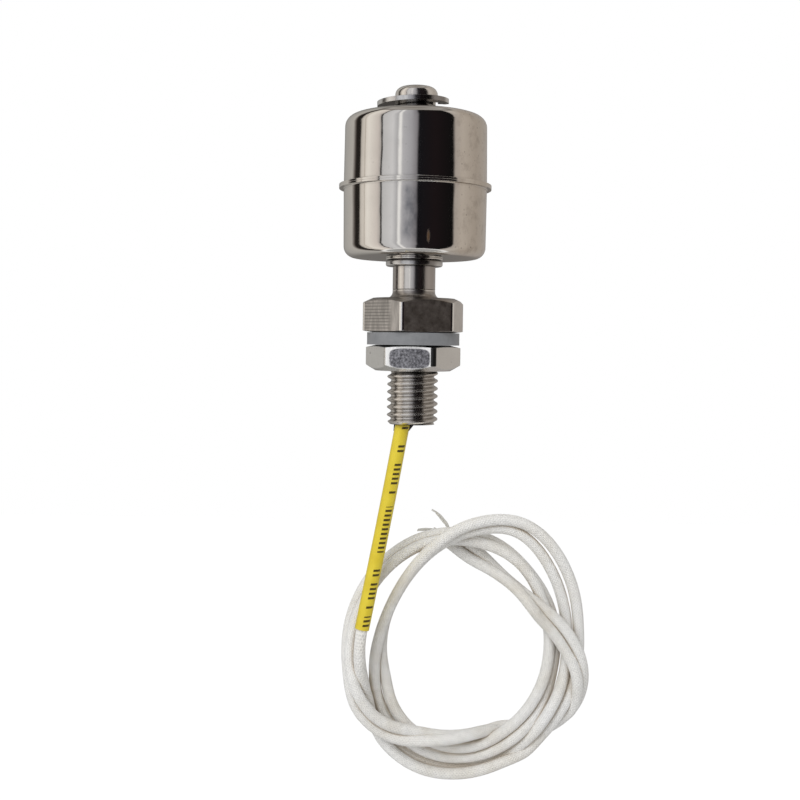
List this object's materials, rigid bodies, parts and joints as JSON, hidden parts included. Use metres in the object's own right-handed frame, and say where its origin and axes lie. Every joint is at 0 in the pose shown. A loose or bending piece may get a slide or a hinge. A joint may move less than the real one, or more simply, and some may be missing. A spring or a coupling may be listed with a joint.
{
  "type": "float level gauge",
  "caption": "Stainless magnetic float level gauge: a float slides on a closed stem; a hexagon fitting with gasket and jam nut clamps in a tank wall; two coiled leads leave below.",
  "frame": {"origin": "on the stem's axis, in the sealing plane under the hexagon, where the gauge meets the outside of the tank's wall", "axes": "+Z along the stem towards the float and the closed tip; the leads leave along -Z and their coil lies behind, facing -Y"},
  "size_m": [0.0527, 0.03, 0.1384],
  "materials": {
    "turned_steel": "turned and lightly polished, with fine machining marks",
    "clip_steel": "stamped, bright",
    "float_steel": "polished drawn stainless steel",
    "nut_steel": "machined faces, slightly speckled",
    "magnet": "sintered, dark",
    "spacer_plastic": "moulded",
    "capsule_glass": "clear, slightly green",
    "contact_metal": "bright",
    "liner_plastic": "smooth tube",
    "ferrule_metal": "tinned",
    "tinned_wire": "tinned, slightly dull",
    "lead_braid": "white braided glass-fibre jacket",
    "sleeve_plastic": "shrunk tube, satin gloss, yellow",
    "compound": "black cast resin, glossy where it stands out",
    "gasket_rubber": "grey, moulded"
  },
  "bodies": {
    "stem": {"mounting_fitting": "turned_steel", "stem_tube": "turned_steel", "upper_clip": "clip_steel", "lower_clip": "clip_steel", "reed_glass": "capsule_glass", "reed_upper_blade": "contact_metal", "reed_lower_blade": "contact_metal", "stem_liner": "liner_plastic", "upper_pin_splice": "ferrule_metal", "lower_pin_splice": "ferrule_metal", "return_wire_splice": "ferrule_metal", "reed_return_wire": "tinned_wire", "lead_a_conductor": "tinned_wire", "lead_b_conductor": "tinned_wire", "lead_a_inner": "lead_braid", "lead_b_inner": "lead_braid", "lead_a_run": "lead_braid", "lead_b_run": "lead_braid", "lead_coil": "lead_braid", "lead_a_bare_end": "tinned_wire", "lead_b_bare_end": "tinned_wire", "lead_sleeve": "sleeve_plastic", "sealing_compound": "compound"},
    "float": {"float_upper_shell": "float_steel", "float_lower_shell": "float_steel", "float_core_tube": "float_steel", "ring_magnet": "magnet", "magnet_lower_spacer": "spacer_plastic", "magnet_upper_spacer": "spacer_plastic"},
    "gasket": {"sealing_gasket": "gasket_rubber"},
    "nut": {"jam_nut": "nut_steel"}
  },
  "joints": [
    {"name": "float_slide", "type": "slide", "parent": "stem", "child": "float", "axis": [0, 0, 1], "range_m": [0, 0.0015]},
    {"name": "gasket_slide", "type": "slide", "parent": "stem", "child": "gasket", "axis": [0, 0, -1], "range_m": [0, 0.009]},
    {"name": "nut_turn", "type": "hinge", "parent": "gasket", "child": "nut", "pos_m": [0, 0, -0.005], "axis": [0, 0, -1], "range_deg": [0, 2160]}
  ],
  "couplings": [
    {"joint": "nut_turn", "follows": "gasket_slide", "rad_per_m": 4188.8}
  ]
}
